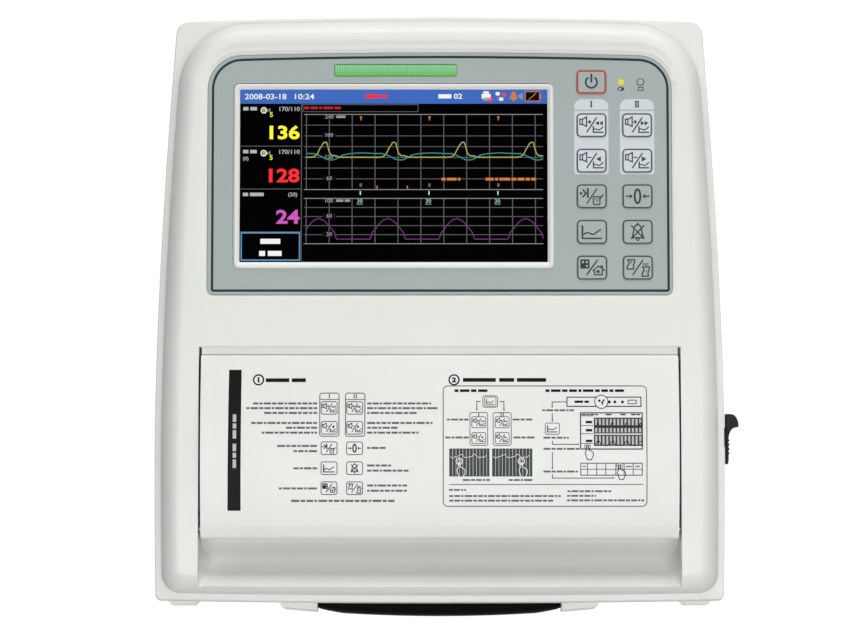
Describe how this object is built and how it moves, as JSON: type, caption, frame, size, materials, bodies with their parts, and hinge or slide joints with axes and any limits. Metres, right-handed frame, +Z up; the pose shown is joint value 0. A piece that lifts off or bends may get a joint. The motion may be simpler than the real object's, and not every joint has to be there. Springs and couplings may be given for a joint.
{
  "type": "cardiotocograph",
  "caption": "Wedge-shaped desktop fetal monitor with a sloping touch screen, membrane keys, an alarm lamp, a hinged paper door over a strip printer, probe sockets and a front carrying handle",
  "frame": {"origin": "centre of the bounding box in X and Y, on the plane of the four feet", "axes": "+X to the reader's right, +Y away from the reader towards the high rear edge, +Z up"},
  "size_m": [0.2959, 0.3014, 0.0925],
  "materials": {
    "case_white": "warm white moulded ABS with a very fine texture",
    "door_white": "warm white moulded ABS, smooth, with printed guide",
    "overlay_grey": "grey-green printed polyester membrane, satin",
    "key_grey": "grey-green printed key tops, satin",
    "black_rubber": "black moulded rubber",
    "black_plastic": "black moulded ABS",
    "screen_glass": "dark touch panel over the display, satin",
    "lamp_green": "translucent green ribbed lamp lens",
    "led_yellow": "yellow indicator light pipe",
    "led_clear": "unlit clear indicator light pipe",
    "board_green": "glass-epoxy circuit board with green mask",
    "bare_steel": "bright steel",
    "aluminium": "plain aluminium",
    "platen_rubber": "black nitrile rubber, ground",
    "gear_white": "natural acetal",
    "battery_wrap": "dark blue shrink wrap",
    "socket_grey": "dark grey moulded nylon"
  },
  "bodies": {
    "root": {"front_cover": "case_white", "rear_case": "case_white", "battery_cover": "case_white", "control_overlay": "overlay_grey", "handle_grip": "black_rubber", "foot_front_left": "black_rubber", "foot_front_right": "black_rubber", "foot_rear_left": "black_rubber", "foot_rear_right": "black_rubber", "paper_tray": "black_plastic", "dc_inlet": "black_plastic", "speaker": "black_plastic", "touch_panel": "screen_glass", "alarm_lamp_lens": "lamp_green", "power_led": "led_yellow", "battery_led": "led_clear", "key_board": "board_green", "main_board": "board_green", "lcd_module": "bare_steel", "printer_chassis": "bare_steel", "feed_motor": "bare_steel", "idler_pin": "bare_steel", "hinge_pin_left": "bare_steel", "hinge_pin_right": "bare_steel", "lever_spring": "bare_steel", "lan_port": "bare_steel", "usb_port": "bare_steel", "case_screw_front_left": "bare_steel", "case_screw_front_right": "bare_steel", "case_screw_rear_left": "bare_steel", "case_screw_rear_right": "bare_steel", "lcd_bracket": "aluminium", "print_head": "aluminium", "battery_pack": "battery_wrap", "us_socket_1": "socket_grey", "us_socket_2": "socket_grey", "toco_socket": "socket_grey", "marker_socket": "socket_grey"},
    "door": {"paper_door": "door_white", "platen_bearing_left": "bare_steel", "platen_bearing_right": "bare_steel"},
    "platen": {"platen_shaft": "bare_steel", "platen_roller": "platen_rubber", "platen_gear": "gear_white"},
    "idler": {"idler_gear": "gear_white"},
    "pinion": {"motor_pinion": "gear_white"},
    "latch": {"release_lever": "black_plastic", "latch_slide": "bare_steel"},
    "key_power_cap": {"key_power": "key_grey"},
    "key_volume_up_1_cap": {"key_volume_up_1": "key_grey"},
    "key_volume_up_2_cap": {"key_volume_up_2": "key_grey"},
    "key_volume_down_1_cap": {"key_volume_down_1": "key_grey"},
    "key_volume_down_2_cap": {"key_volume_down_2": "key_grey"},
    "key_mark_cap": {"key_mark": "key_grey"},
    "key_zero_cap": {"key_zero": "key_grey"},
    "key_trend_cap": {"key_trend": "key_grey"},
    "key_alarm_silence_cap": {"key_alarm_silence": "key_grey"},
    "key_home_cap": {"key_home": "key_grey"},
    "key_print_cap": {"key_print": "key_grey"}
  },
  "joints": [
    {"name": "door_hinge", "type": "hinge", "parent": "root", "child": "door", "pos_m": [-0.0032, -0.11006, 0.04994], "axis": [1, 0, 0], "range_deg": [0, 100]},
    {"name": "platen_spin", "type": "hinge", "parent": "door", "child": "platen", "pos_m": [-0.0032, -0.02917, 0.05858], "axis": [1, 0, 0], "continuous": true},
    {"name": "idler_spin", "type": "hinge", "parent": "root", "child": "idler", "pos_m": [-0.0892, -0.0274, 0.04601], "axis": [1, 0, 0], "continuous": true},
    {"name": "pinion_spin", "type": "hinge", "parent": "root", "child": "pinion", "pos_m": [-0.0892, -0.01691, 0.04748], "axis": [1, 0, 0], "continuous": true},
    {"name": "latch_slide", "type": "slide", "parent": "root", "child": "latch", "axis": [0, 0.9903, 0.1392], "range_m": [0, 0.006], "stiffness_N_per_m": 400, "springref_m": -0.003, "deforming": ["lever_spring"]},
    {"name": "key_power_press", "type": "slide", "parent": "root", "child": "key_power_cap", "axis": [0, 0.1392, -0.9903], "range_m": [0, 0.0005], "stiffness_N_per_m": 800, "springref_m": -0.0002},
    {"name": "key_volume_up_1_press", "type": "slide", "parent": "root", "child": "key_volume_up_1_cap", "axis": [0, 0.1392, -0.9903], "range_m": [0, 0.0005], "stiffness_N_per_m": 800, "springref_m": -0.0002},
    {"name": "key_volume_up_2_press", "type": "slide", "parent": "root", "child": "key_volume_up_2_cap", "axis": [0, 0.1392, -0.9903], "range_m": [0, 0.0005], "stiffness_N_per_m": 800, "springref_m": -0.0002},
    {"name": "key_volume_down_1_press", "type": "slide", "parent": "root", "child": "key_volume_down_1_cap", "axis": [0, 0.1392, -0.9903], "range_m": [0, 0.0005], "stiffness_N_per_m": 800, "springref_m": -0.0002},
    {"name": "key_volume_down_2_press", "type": "slide", "parent": "root", "child": "key_volume_down_2_cap", "axis": [0, 0.1392, -0.9903], "range_m": [0, 0.0005], "stiffness_N_per_m": 800, "springref_m": -0.0002},
    {"name": "key_mark_press", "type": "slide", "parent": "root", "child": "key_mark_cap", "axis": [0, 0.1392, -0.9903], "range_m": [0, 0.0005], "stiffness_N_per_m": 800, "springref_m": -0.0002},
    {"name": "key_zero_press", "type": "slide", "parent": "root", "child": "key_zero_cap", "axis": [0, 0.1392, -0.9903], "range_m": [0, 0.0005], "stiffness_N_per_m": 800, "springref_m": -0.0002},
    {"name": "key_trend_press", "type": "slide", "parent": "root", "child": "key_trend_cap", "axis": [0, 0.1392, -0.9903], "range_m": [0, 0.0005], "stiffness_N_per_m": 800, "springref_m": -0.0002},
    {"name": "key_alarm_silence_press", "type": "slide", "parent": "root", "child": "key_alarm_silence_cap", "axis": [0, 0.1392, -0.9903], "range_m": [0, 0.0005], "stiffness_N_per_m": 800, "springref_m": -0.0002},
    {"name": "key_home_press", "type": "slide", "parent": "root", "child": "key_home_cap", "axis": [0, 0.1392, -0.9903], "range_m": [0, 0.0005], "stiffness_N_per_m": 800, "springref_m": -0.0002},
    {"name": "key_print_press", "type": "slide", "parent": "root", "child": "key_print_cap", "axis": [0, 0.1392, -0.9903], "range_m": [0, 0.0005], "stiffness_N_per_m": 800, "springref_m": -0.0002}
  ],
  "couplings": [
    {"joint": "idler_spin", "follows": "platen_spin", "ratio": -0.8},
    {"joint": "pinion_spin", "follows": "platen_spin", "ratio": 1.6}
  ]
}
